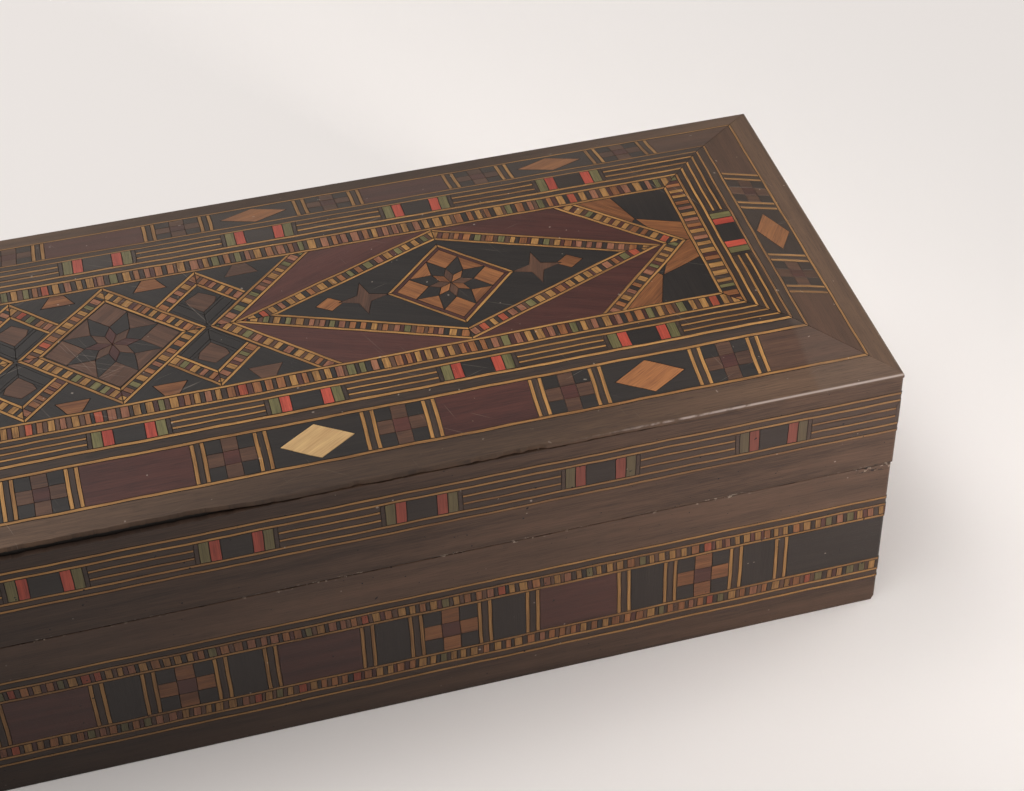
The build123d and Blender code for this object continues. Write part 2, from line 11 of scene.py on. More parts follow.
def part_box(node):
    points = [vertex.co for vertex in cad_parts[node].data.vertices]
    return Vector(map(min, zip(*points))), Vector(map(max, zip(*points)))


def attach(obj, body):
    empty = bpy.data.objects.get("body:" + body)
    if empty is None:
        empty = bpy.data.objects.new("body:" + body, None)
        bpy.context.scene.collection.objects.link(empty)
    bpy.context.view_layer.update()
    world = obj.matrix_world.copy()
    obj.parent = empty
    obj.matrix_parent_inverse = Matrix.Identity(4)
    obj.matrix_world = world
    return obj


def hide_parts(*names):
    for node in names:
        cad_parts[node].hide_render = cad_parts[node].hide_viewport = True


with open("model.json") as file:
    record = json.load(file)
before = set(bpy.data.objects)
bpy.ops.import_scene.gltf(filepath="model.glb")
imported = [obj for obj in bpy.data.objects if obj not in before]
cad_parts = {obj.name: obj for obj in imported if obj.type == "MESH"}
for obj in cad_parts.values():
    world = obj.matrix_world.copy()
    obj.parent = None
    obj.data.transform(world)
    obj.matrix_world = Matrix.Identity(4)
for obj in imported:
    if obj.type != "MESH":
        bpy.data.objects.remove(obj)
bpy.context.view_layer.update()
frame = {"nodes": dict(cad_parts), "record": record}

# Sizes in millimetres.
metre = 1000
inlay_depth = 0.95
inlay_layer = 1.0
thinnest_edge = 0.1
glue_gap = 0.03
deepest_recess = 0.035
piece_round = 0.04
worn_round = 0.06
arris_round = 0.55
corner_round = 0.45
edge_round = 0.22
foot_round = 1.1
outline_step = 2.2
chip_step = 0.6
chipped_length = 8
wander_size = 0.04
wander_fade = 2.5
smallest_area = 0.04
smallest_width = 0.13
closest_points = 0.06
banding_string = 0.74
ruled_line = 0.56
ruled_end = 0.7
near_zero = 0.004
tiny = 1e-6


def mm(vector):
    """A point of the frame in millimetres."""
    return Vector(vector) * metre


def lid_points(node):
    """The corners of a lid node's flat faces."""
    return [mm(vertex.co) for vertex in frame["nodes"][node].data.vertices]


def ramp(value, start, end):
    """Runs straight from 0 at start to 1 at end."""
    return min(1.0, max(0.0, (value - start) / (end - start)))


half_l = mm(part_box("lid_walnut_strips")[1]).x
half_w = mm(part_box("lid_walnut_strips")[1]).y
base_half = mm(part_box("base_walnut_strips")[1]).x
seam = mm(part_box("base_walnut_strips")[1]).z
top = mm(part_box("lid_strings")[1]).z
arris = max(p.z for p in lid_points("lid_walnut_strips") if abs(p.y) > half_w - near_zero)
eave = arris - inlay_layer
fold_inset = half_w - max(abs(p.y) for p in lid_points("lid_strings") if p.z > top - near_zero)
slope_start = (half_l - fold_inset, half_w - fold_inset)


def roof_height(u, v):
    """Height of the hipped roof over a point."""
    inset = min(half_l - abs(u), half_w - abs(v))
    return arris + (top - arris) * ramp(inset, 0, fold_inset)


def end_reach(group):
    """How far the ends of a body's outside lie from the middle."""
    return half_l if group == "lid" else base_half


def put(name, data):
    """A new object in the scene."""
    made = bpy.data.objects.new(name, data)
    bpy.context.scene.collection.objects.link(made)
    return made


# Shader maths
class Value:
    """A number, colour or vector on a surface: an output of a finish's node, with operators for numbers."""

    def __init__(self, finish, socket):
        self.finish = finish
        self.socket = socket

    def math(self, operation, first, second=0.0):
        return self.finish.node("ShaderNodeMath", {"operation": operation}, {0: first, 1: second})

    def __add__(self, other):
        return self.math("ADD", self, other)

    def __radd__(self, other):
        return self.math("ADD", other, self)

    def __sub__(self, other):
        return self.math("SUBTRACT", self, other)

    def __rsub__(self, other):
        return self.math("SUBTRACT", other, self)

    def __mul__(self, other):
        return self.math("MULTIPLY", self, other)

    def __rmul__(self, other):
        return self.math("MULTIPLY", other, self)

    def __abs__(self):
        return self.math("ABSOLUTE", self)

    def step(self, low, high):
        """Runs smoothly from 0 at low to 1 at high."""
        sockets = {"Value": self, "From Min": low, "From Max": high}
        return self.finish.node("ShaderNodeMapRange", {"interpolation_type": "SMOOTHSTEP"}, sockets)


class Finish:
    """One material: its node tree, the nodes that are added to it and its shader."""

    def __init__(self, name):
        self.material = bpy.data.materials.new(name)
        self.material.use_nodes = True
        self.tree = self.material.node_tree
        self.tree.nodes.clear()
        self.shader = self.tree.nodes.new("ShaderNodeBsdfPrincipled")
        output = self.tree.nodes.new("ShaderNodeOutputMaterial")
        self.tree.links.new(self.shader.outputs[0], output.inputs["Surface"])

    def node(self, kind, settings=(), sockets=(), output=0):
        """Adds a node: settings first, then the values or links of its sockets."""
        made = self.tree.nodes.new(kind)
        for name, value in dict(settings).items():
            setattr(made, name, value)
        for key, value in dict(sockets).items():
            self.feed(made.inputs[key], value)
        return Value(self, made.outputs[output])

    def feed(self, socket, value):
        """Links a value to a socket, or sets a plain number or colour on it."""
        if isinstance(value, Value):
            self.tree.links.new(value.socket, socket)
        else:
            socket.default_value = value

    def set(self, **values):
        """Sets or links the shader's sockets, written with underscores for spaces."""
        for name, value in values.items():
            self.feed(self.shader.inputs[name.replace("_", " ")], value)

    def linked(self, name):
        """The value that already feeds one of the shader's sockets."""
        return Value(self, self.shader.inputs[name].links[0].from_socket)

    def mix(self, low, high, share):
        """A colour between two colours."""
        return self.node("ShaderNodeMix", {"data_type": "RGBA"}, {0: share, 6: low, 7: high}, 2)

    def scaled(self, vector, factors):
        """A vector with each part scaled by its own factor."""
        return self.node("ShaderNodeVectorMath", {"operation": "MULTIPLY"}, {0: vector, 1: factors})

    def turned(self, vector, angle):
        """A vector turned about the vertical."""
        sockets = {"Vector": vector, "Axis": (0, 0, 1), "Angle": angle}
        return self.node("ShaderNodeVectorRotate", {"rotation_type": "AXIS_ANGLE"}, sockets)

    def noise(self, vector, factors, detail=2.0, roughness=0.5, scale=1.0):
        """Noise over a vector that is scaled first, by a factor for each part or by one for all."""
        if not isinstance(factors, tuple):
            factors = (factors,) * 3
        sockets = {"Vector": self.scaled(vector, factors), "Scale": scale, "Detail": detail}
        sockets["Roughness"] = roughness
        return self.node("ShaderNodeTexNoise", {}, sockets, "Fac")

    def grain(self):
        """Millimetres along and across the grain of each inlaid piece."""
        return self.node("ShaderNodeUVMap", {"uv_map": "grain"})

    def place(self):
        """Millimetres in the frame of the box."""
        return self.scaled(self.node("ShaderNodeTexCoord", {}, {}, "Object"), (metre, metre, metre))

    def axis(self, vector, name):
        """One part of a vector."""
        return self.node("ShaderNodeSeparateXYZ", {}, {0: vector}, name)

    def tone(self):
        """A number from -1 to 1 that each inlaid piece has to itself."""
        return self.node("ShaderNodeAttribute", {"attribute_name": "tone"}, {}, "Fac")

    def bump(self, height, distance, strength):
        """Feeds a bump to the shader. Distance is in millimetres."""
        sockets = {"Height": height, "Distance": distance / metre, "Strength": strength}
        self.set(Normal=self.node("ShaderNodeBump", {}, sockets))


def tint(red, green, blue):
    """A display colour, each part from 0 to 255, as the shader's own."""
    parts = []
    for part in (red, green, blue):
        share = part / 255
        parts.append(share / 12.92 if share <= 0.04045 else ((share + 0.055) / 1.055) ** 2.4)
    return (*parts, 1.0)


# Colours of wear and dirt, and of painted light and shade
# A warm dust veil on the walls, with painted sheen where it grows towards the right
veil_and_sheen_colour = tint(64, 46, 36)
# Painted sheen on the lid's walls
painted_sheen_colour = tint(86, 68, 61)
# Painted shade on the left of the base's walls
left_shade_colour = tint(24, 15, 12)
# Painted glare on the roof's far slopes and at the back of its top
far_sheen_colour = tint(98, 84, 74)
pit_colour = tint(8, 6, 5)
dust_colour = tint(186, 172, 158)
# Painted shade on the walnut strips
shade_colour = tint(22, 14, 10)
# Pale chips, and painted glints along the seam
chip_and_glint_colour = tint(168, 154, 138)
# Painted shadow in the chips near the right end
chip_shadow_colour = tint(16, 11, 8)
# Painted highlight along the worn front arris
arris_highlight_colour = tint(164, 150, 143)
# Painted shade in the gap under the torn arris
recess_shade_colour = tint(24, 17, 12)
scratch_turns = ((0.5, 0.0), (1.15, 40.0), (-0.35, 90.0))


def roof_mask(height):
    """1 on the roof and 0 on the walls."""
    return height.step(eave - 0.3, arris - 0.2)


def lid_mask(height):
    """1 above the seam of lid and base and 0 below it."""
    return height.step(seam - 0.1, seam + 0.1)


def front_mask(finish, place, start, end):
    """1 near the front, fading between two depths under it."""
    return 1 - finish.axis(place, "Y").step(start - half_w, end - half_w)


def scratches(finish, place):
    """Fine scratches in three directions, broken up by patches."""
    found = None
    for angle, offset in scratch_turns:
        turned = finish.turned(place, angle)
        lines = finish.noise(turned, (0.05, 4.5, 0.4), 1.0).step(0.735, 0.78)
        patch = finish.noise(turned, 0.06, 1.0, scale=1 + offset / 97).step(0.52, 0.66)
        found = lines * patch if found is None else found + lines * patch
    return found


def wood(name, dark, light, streak=(0.035, 0.9), pore=0.5, gloss=0.36, varnish=0.12, dull=0.0, on_roof=None):
    """Varnished inlay wood: streaks and pores along the grain, a tone for each piece, dust and wear; where
    asked, a dust veil with painted sheen on the walls, painted shade on the base's left and lighter colours
    on the roof as painted light; and painted glare on the roof's far slopes.
    """
    finish = Finish(name)
    grain = finish.grain()
    place = finish.place()
    tone = finish.tone()
    broad = finish.noise(grain, (*streak, 1), 4.0, 0.55)
    fine = finish.noise(grain, (0.16, 5.0, 1), 3.0, 0.6)
    pores = finish.noise(grain, (0.3, 7.5, 1)).step(0.54, 0.68)
    share = broad.step(0.28, 0.72) * 0.55 + fine.step(0.3, 0.7) * 0.45 + tone * 0.2
    height = finish.axis(place, "Z")
    roof = roof_mask(height)
    colour = finish.mix(dark, light, share)
    x = finish.axis(place, "X")
    if dull:
        # Dust veil on the walls, with painted sheen where it grows towards the right
        veil_and_sheen = (1 - roof) * (0.55 + x.step(-40, 110) * 0.5)
        colour = finish.mix(colour, veil_and_sheen_colour, veil_and_sheen * dull)
        above = lid_mask(height)
        # Painted sheen on the lid's walls, growing towards the right
        colour = finish.mix(colour, painted_sheen_colour, (1 - roof) * above * x.step(-30, 100) * dull * 0.7)
        # Painted shade on the left of the base's walls
        colour = finish.mix(colour, left_shade_colour, (1 - above) * (1 - x.step(-10, 110)) * 0.36)
    # Painted light: lighter colours for the wood on the roof
    if on_roof:
        colour = finish.mix(colour, finish.mix(*on_roof, share), roof)
    y = finish.axis(place, "Y")
    # Painted glare on the far slopes, and on the back of the top with more of it to the left
    right_slope = x.step(slope_start[0] - 1, slope_start[0] + 1)
    back_slope = y.step(slope_start[1] - 1, slope_start[1] + 1)
    far_slopes = (right_slope + back_slope).step(0, 1)
    far_top = (1 - far_slopes) * y.step(10, 24) * (0.34 - x.step(-60, 90) * 0.16)
    colour = finish.mix(colour, far_sheen_colour, (far_slopes * 0.3 + far_top) * roof)
    colour = finish.mix(colour, (dark[0] * 0.4, dark[1] * 0.4, dark[2] * 0.4, 1), pores * pore)
    smudge = finish.noise(place, 0.045, 3.0, 0.6)
    worn = scratches(finish, place) * roof
    dust = finish.noise(place, 1.1, 0.0).step(0.84, 0.87)
    pits = finish.noise(place, 1.4, 1.0, 0.4, 1.03).step(0.77, 0.8) * (1 - roof)
    colour = finish.mix(colour, pit_colour, pits)
    colour = finish.mix(colour, dust_colour, worn * 0.22 + dust * 0.4)
    finish.set(Base_Color=colour, Roughness=gloss + smudge * 0.2 + worn * 0.1)
    finish.set(Coat_Weight=varnish, Coat_Roughness=0.3, Specular_IOR_Level=0.3)
    finish.bump(fine * 0.5 - pores * 0.8 - worn * 0.5 - pits * 3 + smudge * 1.5, 0.02, 0.6)
    return finish


def seam_chips_and_glints(finish, place):
    """Painted glints: pale broken flecks along the seam of lid and base; and more pale flecks near the right
    end, as chips with painted shadow.
    """
    x = finish.axis(place, "X")
    height = finish.axis(place, "Z")
    front = front_mask(finish, place, 0.05, 0.3)
    # Painted glints along the seam
    near = (1 - abs(height - seam).step(0.1, 0.45)) * front
    fleck = finish.noise(place, (0.9, 0.9, 1.6), 3.0, 0.6).step(0.56, 0.62)
    stretch = finish.noise(place, (0.06, 0.0, 0.0), 1.0).step(0.47, 0.56)
    # Pale chips and painted shadow near the right end
    corner = x.step(118.5, 121) * (1 - abs(height - seam + 0.4).step(0.4, 1.1)) * front
    worm = finish.noise(place, (0.9, 0.9, 1.2), 2.0, 0.6)
    pale = near * fleck * stretch * 0.8 + corner * worm.step(0.58, 0.62) * 0.6
    black = corner * (1 - worm.step(0.40, 0.46))
    return pale, black


wide_streak = (0.02, 0.35)


def walnut_finish():
    """The plain strips: greyer and darker on the walls and lighter, warmer on the roof's edge as painted
    light; painted shade, chips and painted glints along the seam, and a painted highlight along the worn
    arris.
    """
    # Lighter, warmer walnut on the roof's edge than on the walls: painted light
    on_roof = (tint(72, 53, 41), tint(114, 87, 66))
    finish = wood("walnut", tint(60, 43, 33), tint(106, 79, 62), wide_streak,
                  pore=0.35, gloss=0.46, varnish=0.08, on_roof=on_roof)
    place = finish.place()
    x = finish.axis(place, "X")
    height = finish.axis(place, "Z")
    roof = roof_mask(height)
    # Painted shade: the walls darker towards the left, and the roof's edge darker in its middle
    middle = 1 - abs(x - 45).step(15, 80)
    shade = (1 - roof) * (1 - x.step(-40, 115)) * 0.6 + roof * middle * 0.55
    colour = finish.mix(finish.linked("Base Color"), shade_colour, shade)
    # Darker along the foot, and under the seam towards the right
    foot = 1 - height.step(8, 12)
    under_seam = (1 - lid_mask(height)) * x.step(25, 70)
    colour = finish.mix(colour, shade_colour, foot * 0.36 + (1 - foot) * under_seam * 0.3)
    # Painted glints and chips along the seam, with painted shadow near the right end
    pale, black = seam_chips_and_glints(finish, place)
    colour = finish.mix(colour, chip_and_glint_colour, pale)
    colour = finish.mix(colour, chip_shadow_colour, black)
    # Painted highlight along the front arris, broken up and stronger towards the right
    ragged = (finish.noise(place, 0.35, 3.0, 0.6) + x.step(84, 112) * 0.3).step(0.42, 0.6)
    front = front_mask(finish, place, 0.7, 1.1)
    arris_highlight = (1 - abs(height - arris + 0.3).step(0.06, 0.26)) * x.step(64, 92) * ragged * front
    finish.set(Base_Color=finish.mix(colour, arris_highlight_colour, arris_highlight * 0.75))
    return finish


def metal(name, colour, stain, rough):
    """Old dull metal with tarnish in patches and fine brushing."""
    finish = Finish(name)
    place = finish.place()
    patch = finish.noise(place, 0.3, 4.0, 0.55).step(0.3, 0.85)
    brushed = finish.noise(place, (0.6, 9.0, 9.0))
    finish.set(Base_Color=finish.mix(colour, stain, patch * 0.7), Metallic=1 - patch * 0.25)
    finish.set(Roughness=rough + patch * 0.25 + brushed * 0.08)
    finish.bump(brushed * 0.4 + patch * 0.6, 0.02, 0.5)
    return finish


def board(name, along):
    """Plain planed wood with grain along one axis, with painted shade on the front just under the inlay,
    where the board shows in the gap under the torn arris.
    """
    finish = Finish(name)
    place = finish.place()
    long = 0.02
    across = 0.33
    factors = {"X": (long, across, across), "Y": (across, long, across)}[along]
    broad = finish.noise(place, factors, 5.0, 0.55)
    rays = finish.noise(place, tuple(factor * 9 for factor in factors), 2.0, 0.6)
    sockets = {"Vector": finish.scaled(place, factors), "Scale": 0.9, "Distortion": 5.0, "Detail": 2.0}
    bands = {"wave_type": "BANDS", "bands_direction": "DIAGONAL"}
    rings = finish.node("ShaderNodeTexWave", bands, sockets, "Fac")
    share = broad.step(0.25, 0.75) * 0.5 + rings * 0.25 + rays * 0.3
    colour = finish.mix(tint(74, 49, 32), tint(132, 94, 62), share)
    # Painted shade on the front near the top, where the board shows in the gap under the inlay
    front = front_mask(finish, place, 1.05, 1.3)
    under = front * finish.axis(place, "Z").step(eave - 4, eave - 2)
    colour = finish.mix(colour, recess_shade_colour, under)
    finish.set(Base_Color=colour, Roughness=0.62 - rays * 0.1)
    finish.bump(rays * 0.6 + broad * 0.5, 0.03, 0.6)
    return finish


thin_wood = {"pore": 0.4, "gloss": 0.48, "varnish": 0.08}
rope_wood = {"streak": (0.3, 1.6), **thin_wood}
dyed_wood = {"streak": (0.1, 1.2), "pore": 0.4, "gloss": 0.46, "dull": 0.5}
lozenge_wood = {"streak": (0.06, 0.5), "gloss": 0.42}
finishes = {
    "walnut": walnut_finish(),
    "corner": wood("corner_walnut", tint(58, 39, 29), tint(96, 66, 49), wide_streak, pore=0.35, gloss=0.42),
    "dark": wood("dark_wood", tint(36, 27, 22), tint(68, 51, 41), gloss=0.45, dull=0.3),
    "string": wood("string_wood", tint(118, 80, 43), tint(186, 138, 78), (0.05, 1.6), dull=0.35, **thin_wood),
    "gold": wood("rope_gold", tint(114, 78, 42), tint(178, 132, 74), dull=0.4, **rope_wood),
    "rose": wood("rope_rose", tint(108, 66, 48), tint(156, 104, 76), dull=0.35, **rope_wood),
    "rust": wood("rope_rust", tint(126, 54, 38), tint(172, 84, 56), dull=0.45, **rope_wood),
    "ebony": wood("ebony", tint(30, 25, 22), tint(44, 37, 33), pore=0.25, gloss=0.4, dull=0.15),
    "mahogany": wood("mahogany", tint(54, 27, 23), tint(86, 47, 39),
                     streak=(0.02, 0.5), pore=0.4, gloss=0.38, dull=0.2),
    "olive": wood("olive_wood", tint(96, 56, 30), tint(162, 105, 60), pore=0.4, dull=0.3, **lozenge_wood),
    "cream": wood("pale_olive_wood", tint(164, 126, 82), tint(206, 170, 118), pore=0.15, **lozenge_wood),
    "brown": wood("brown_wood", tint(60, 39, 29), tint(98, 67, 49),
                  streak=(0.05, 0.7), pore=0.4, gloss=0.42, dull=0.2),
    "scarlet": wood("scarlet_wood", tint(138, 50, 38), tint(190, 80, 60), **dyed_wood),
    "green": wood("green_wood", tint(76, 72, 42), tint(120, 112, 70), **dyed_wood),
    "joint": wood("dirt_in_joints", tint(34, 23, 16), tint(62, 42, 28), pore=0.3, gloss=0.55, varnish=0.05),
    "brass": metal("brass", tint(190, 152, 92), tint(92, 70, 40), 0.32),
    "steel": metal("steel", tint(150, 148, 145), tint(78, 70, 62), 0.34),
    "board_x": board("carcass_wood_x", "X"),
    "board_y": board("carcass_wood_y", "Y"),
}

# Sides of the box in plan coordinates
long_sides = ("front", "back")
main_bodies = ("lid", "base")
outer_edges = ("u_low", "u_high", "v_low", "v_high")
side_seeds = {"roof": 0.0, "front": 1.7, "back": 3.1, "right": 4.4, "left": 5.9}

# Waves of a hand-drawn line: height, and how fast each runs with u, v and the seed.
along_waves = ((1, 0.19, 0.37, 1.3), (0.7, -0.5, 0.9, 1), (0.25, 1.5, 2.6, 0.7))
across_waves = ((1, 0.29, 0.21, 1), (0.7, 0.83, -0.6, 2.3), (0.25, 2.3, 1.7, 3.9))
rough_waves = ((1, 0.43, 0, 1), (1, 1.31, 0, 2.2), (0.8, 2.9, 0, 0.6))


def wavy(waves, u, v, seed):
    """The height of a sum of waves at a place."""
    total = 0.0
    for height, by_u, by_v, by_seed in waves:
        total += height * math.sin(u * by_u + v * by_v + seed * by_seed)
    return total


class Side:
    """One side of the box: plan coordinates (u, v) in millimetres and where they lie in space."""

    def __init__(self, name, group):
        self.name = name
        self.group = group
        self.low = [1e9, 1e9]
        self.high = [-1e9, -1e9]

    def grow(self, u, v):
        """Widens the side's outer edges to hold a point."""
        for i, value in enumerate((u, v)):
            self.low[i] = min(self.low[i], value)
            self.high[i] = max(self.high[i], value)

    def flat(self, point):
        """The plan coordinates of a point in space."""
        if self.name == "roof":
            return (point.x, point.y)
        return (point.x, point.z) if self.name in long_sides else (point.y, point.z)

    def place(self, u, v, depth):
        """A point in space, in metres, so deep under the side's surface."""
        if self.name == "roof":
            return (u / metre, v / metre, (roof_height(u, v) - depth) / metre)
        out = ((half_w if self.name in long_sides else end_reach(self.group)) - depth) / metre
        if self.name in ("front", "left"):
            out = -out
        return (u / metre, out, v / metre) if self.name in long_sides else (out, u / metre, v / metre)

    def border(self, a, b):
        """Which outer edge of the side the line from a to b lies on, if any."""
        for i, key in ((0, "u"), (1, "v")):
            for limit, end in ((self.low[i], "low"), (self.high[i], "high")):
                if abs(a[i] - limit) < near_zero and abs(b[i] - limit) < near_zero:
                    return key + "_" + end
        return None

    def gaps(self, u, v):
        """How far a point lies from each outer edge."""
        return dict(zip(outer_edges, (u - self.low[0], self.high[0] - u, v - self.low[1], self.high[1] - v)))

    def rounding(self):
        """How far each outer edge is rounded."""
        if self.name == "roof":
            return dict.fromkeys(outer_edges, arris_round)
        if self.group not in main_bodies:
            return {}
        rounds = {"v_low": edge_round}
        if self.name in long_sides:
            rounds.update(u_low=corner_round, u_high=corner_round)
        elif self.group == "base":
            rounds["v_low"] = foot_round
        if self.group == "base":
            rounds["v_high"] = edge_round
        return rounds

    def wander(self, u, v):
        """The hand-laid pieces wander from the drawn lines, less so near the side's outer edges."""
        if self.group == "base" and self.name in ("left", "right"):
            return u, v
        size = wander_size * ramp(min(self.gaps(u, v).values()), 0, wander_fade)
        seed = side_seeds[self.name] + len(self.group)
        return u + wavy(along_waves, u, v, seed) * size, v + wavy(across_waves, u, v, seed) * size


def rough_line(t, seed):
    """A jagged run of numbers from 0 to 1 along an edge."""
    return min(1.0, max(0.0, 0.5 + wavy(rough_waves, t, 0, seed) * 0.28))


def fallen(radius, inside):
    """How far a rounded edge falls away, so far inside its rounding."""
    return radius - math.sqrt(radius * radius - inside * inside) if inside > 0 else 0.0


def chipped(side, edge, u, v):
    """Wear that eats into an outer edge of a side, in millimetres, where the point lies on that edge."""
    if side.name == "roof" and edge == "v_low":
        torn = (1 - ramp(u, 8, 22)) * ramp(u, -78, -54)
        frayed = (1 - ramp(u, 48, 90)) * ramp(u, -110, -80)
        jag = rough_line(u, 0.7) * rough_line(u * 0.21, 1.9)
        lost = torn * (0.85 + 0.12 * rough_line(u * 1.7, 2.9))
        return max(lost, frayed * (0.2 + 0.6 * max(0.0, jag - 0.15)))
    if side.name == "roof":
        return 0.2 * max(0.0, rough_line(u + v, 2.1) * rough_line((u - v) * 0.17, 0.4) - 0.62)
    if side.group == "lid" and edge == "v_high" and side.name == "front":
        torn = (1 - ramp(u, 4, 24)) * ramp(u, -70, -46)
        return 0.45 * torn + 0.3 * max(0.0, rough_line(u, 4.2) - 0.45) * (1 - ramp(u, 70, 100))
    if side.group == "base" and edge == "v_low" and side.name == "front":
        return fallen(foot_round, foot_round - min(u - side.low[0], side.high[0] - u))
    if edge in ("v_low", "v_high") and side.group in main_bodies and 1 < v < eave:
        size = 0.3 if side.name == "front" else 0.1
        return size * max(0.0, rough_line(u, 3.3 if side.group == "lid" else 5.8) - 0.6)
    return 0.0


# Outlines of the drawn pieces
facing_up = 0.5
facing_out = 0.99
straight = 1e-4
along_u = (1, 0)
along_v = (0, 1)


def mesh_islands(node):
    """The flat faces of a node's solids: groups of triangles that share vertices."""
    mesh = frame["nodes"][node].data
    parent = list(range(len(mesh.vertices)))

    def root(i):
        while parent[i] != i:
            parent[i] = parent[parent[i]]
            i = parent[i]
        return i

    for face in mesh.polygons:
        for i in face.vertices[1:]:
            parent[root(i)] = root(face.vertices[0])
    groups = {}
    for face in mesh.polygons:
        groups.setdefault(root(face.vertices[0]), []).append(face)
    for faces in groups.values():
        yield mesh, faces


def outer_side(group, mesh, faces):
    """The name of the side that a flat face shows on, or None for a hidden one."""
    normal = faces[0].normal
    points = [mm(mesh.vertices[i].co) for face in faces for i in face.vertices]
    low = [min(p[i] for p in points) for i in range(3)]
    high = [max(p[i] for p in points) for i in range(3)]
    reach = end_reach(group)
    if group == "lid" and normal.z > facing_up:
        return "roof" if abs(points[0].z - roof_height(points[0].x, points[0].y)) < near_zero else None
    if low[2] > eave - near_zero:
        return None
    for name, i, sign, limit, other in (("front", 1, -1, half_w, 0), ("back", 1, 1, half_w, 0),
                                        ("right", 0, 1, reach, 1), ("left", 0, -1, reach, 1)):
        if sign * normal[i] > facing_out and abs(sign * low[i] - limit) < near_zero:
            edge = (reach if other == 0 else half_w) - inlay_layer - near_zero
            thin = low[other] > edge or high[other] < -edge
            if thin or (name in long_sides and group not in main_bodies):
                return None
            return name
    return None


def pairs(loop):
    """Each point of a closed outline with the next."""
    return zip(loop, loop[1:] + loop[:1])


def outlines(mesh, faces):
    """The closed outlines of a flat face as lists of points."""
    edges = set()
    for face in faces:
        for a, b in pairs(list(face.vertices)):
            if (b, a) in edges:
                edges.remove((b, a))
            else:
                edges.add((a, b))
    following = {}
    for a, b in sorted(edges):
        following.setdefault(a, []).append(b)
    loops = []
    while following:
        start = min(following)
        loop = [start]
        at = following[start].pop()
        while at != start:
            loop.append(at)
            at = following[at].pop()
        following = {a: ends for a, ends in following.items() if ends}
        loops.append([mm(mesh.vertices[i].co) for i in loop])
    return loops


def area(loop):
    """The signed area of a closed outline."""
    return sum(a[0] * b[1] - b[0] * a[1] for a, b in pairs(loop)) / 2


def tidied(loop):
    """An outline without points that nearly meet or that lie on a straight line."""
    apart = [point for i, point in enumerate(loop) if math.dist(point, loop[i - 1]) > closest_points]
    kept = []
    for i, point in enumerate(apart):
        a = apart[i - 1]
        b = apart[(i + 1) % len(apart)]
        turn = (point[0] - a[0]) * (b[1] - point[1]) - (point[1] - a[1]) * (b[0] - point[0])
        if abs(turn) > straight:
            kept.append(point)
    return kept


def width_of(loop):
    """The mean width of a narrow outline."""
    around = sum(math.dist(a, b) for a, b in pairs(loop))
    return 2 * abs(area(loop)) / around if around else 0.0


def reach_along(point, axis):
    """How far a point lies along an axis."""
    return point[0] * axis[0] + point[1] * axis[1]


def square_to(axis):
    """The direction square to another."""
    return (-axis[1], axis[0])


def cut(loop, axis, limit):
    """The part of an outline on the low side of a line across an axis."""
    kept = []
    for a, b in pairs(loop):
        high_a = reach_along(a, axis) - limit
        high_b = reach_along(b, axis) - limit
        if high_a <= 0:
            kept.append(a)
        if high_a * high_b < 0:
            share = high_a / (high_a - high_b)
            kept.append((a[0] + (b[0] - a[0]) * share, a[1] + (b[1] - a[1]) * share))
    return kept


def slab(loop, axis, low, high):
    """The part of an outline between two lines across an axis."""
    kept = cut(loop, axis, high)
    return cut(kept, (-axis[0], -axis[1]), -low) if len(kept) > 2 else []


def span(loop, axis):
    """Where an outline starts and ends along an axis."""
    places = [reach_along(point, axis) for point in loop]
    return min(places), max(places)


def middle_of(loop):
    """The middle of an outline's extent."""
    return (sum(span(loop, along_u)) / 2, sum(span(loop, along_v)) / 2)


def long_axis(loop):
    """The direction of an outline's longest straight side."""
    start, end = max(pairs(loop), key=lambda pair: math.dist(*pair))
    length = math.dist(start, end)
    return ((end[0] - start[0]) / length, (end[1] - start[1]) / length)


# Laying the pieces
worn_edges = ("string", "gold", "olive", "rose", "rust", "green", "scarlet")
grain_shift = 900
largest_round = 0.35
round_steps = (0.12, 0.4, 1.0)
room_for_steps = 3
shallow_turn = 0.12
longest_mitre = 3.5
fill_error = 0.004
easings = (1.0, 0.4, 0.1, 0.0)

# The rings of a block from its top down: how far each is drawn in by the easing, and how far it is lowered.
ring_insets = (1.0, 0.3, 0.0, 0.0)
ring_depths = (0.0, 0.29, 1.0, 1.0)


